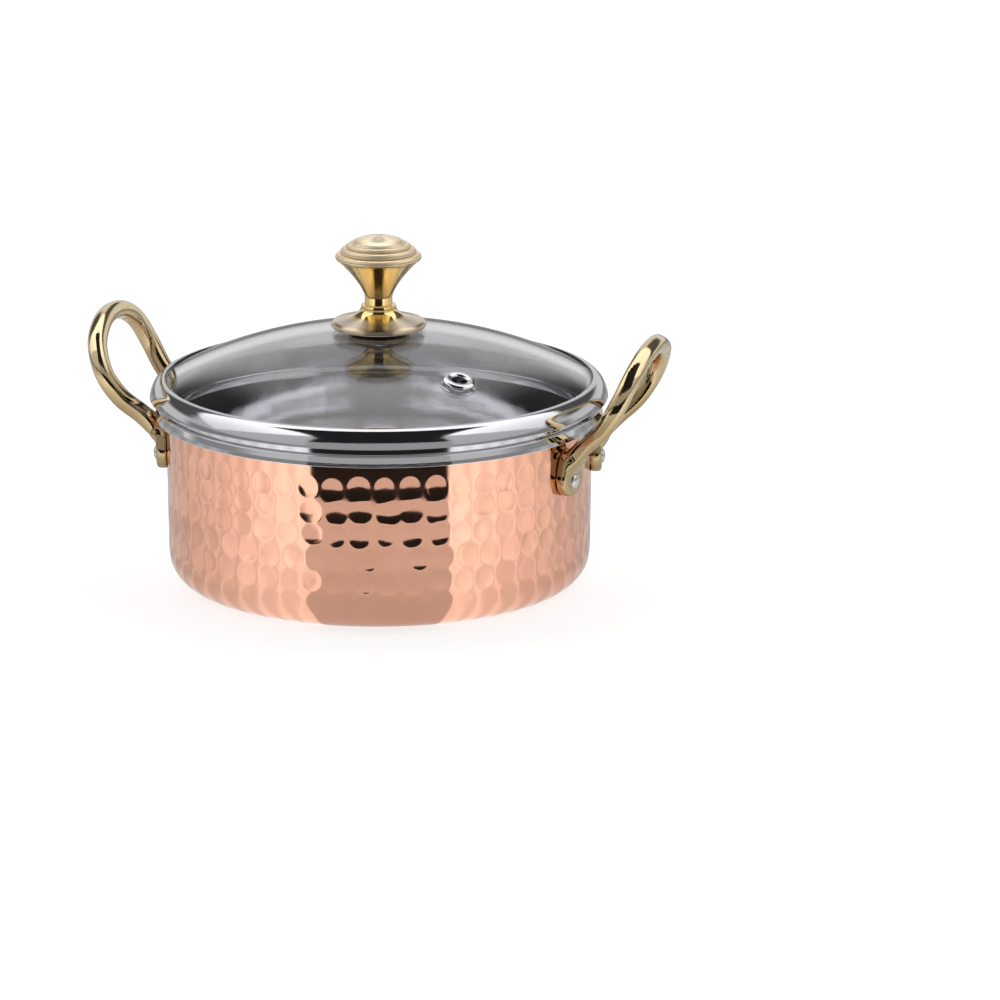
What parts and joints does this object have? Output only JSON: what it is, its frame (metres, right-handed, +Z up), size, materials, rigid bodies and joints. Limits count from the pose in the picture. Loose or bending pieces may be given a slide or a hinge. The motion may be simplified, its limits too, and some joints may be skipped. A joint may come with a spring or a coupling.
{
  "type": "saucepan",
  "caption": "Two-handled saucepan of hammered copper with a polished steel liner, riveted brass loop handles and a domed glass lid with a steel band, a steam vent and a brass knob.",
  "frame": {"origin": "middle of the pan's underside, where it stands on the table", "axes": "+Z up, +X towards the right handle, +Y away from the side that the steam vent is on"},
  "size_m": [0.208, 0.164, 0.1258],
  "materials": {
    "copper": "hammered and polished copper",
    "polished_steel": "mirror polished",
    "cast_brass": "cast and polished",
    "rivet_steel": "satin",
    "clear_glass": "clear and polished",
    "turned_brass": "turned and polished",
    "seal_rubber": "matt silicone"
  },
  "bodies": {
    "pan": {"copper_shell": "copper", "steel_liner": "polished_steel", "right_handle": "cast_brass", "left_handle": "cast_brass", "handle_rivets": "rivet_steel"},
    "lid": {"lid_glass": "clear_glass", "lid_band": "polished_steel", "vent_eyelet": "polished_steel", "knob": "turned_brass", "knob_base": "turned_brass", "knob_screw": "rivet_steel", "upper_seal": "seal_rubber", "lower_seal": "seal_rubber", "knob_washer": "turned_brass"}
  },
  "joints": [
    {"name": "lid_lift", "type": "slide", "parent": "pan", "child": "lid", "axis": [0, 0, 1], "range_m": [0, 0.1]}
  ]
}
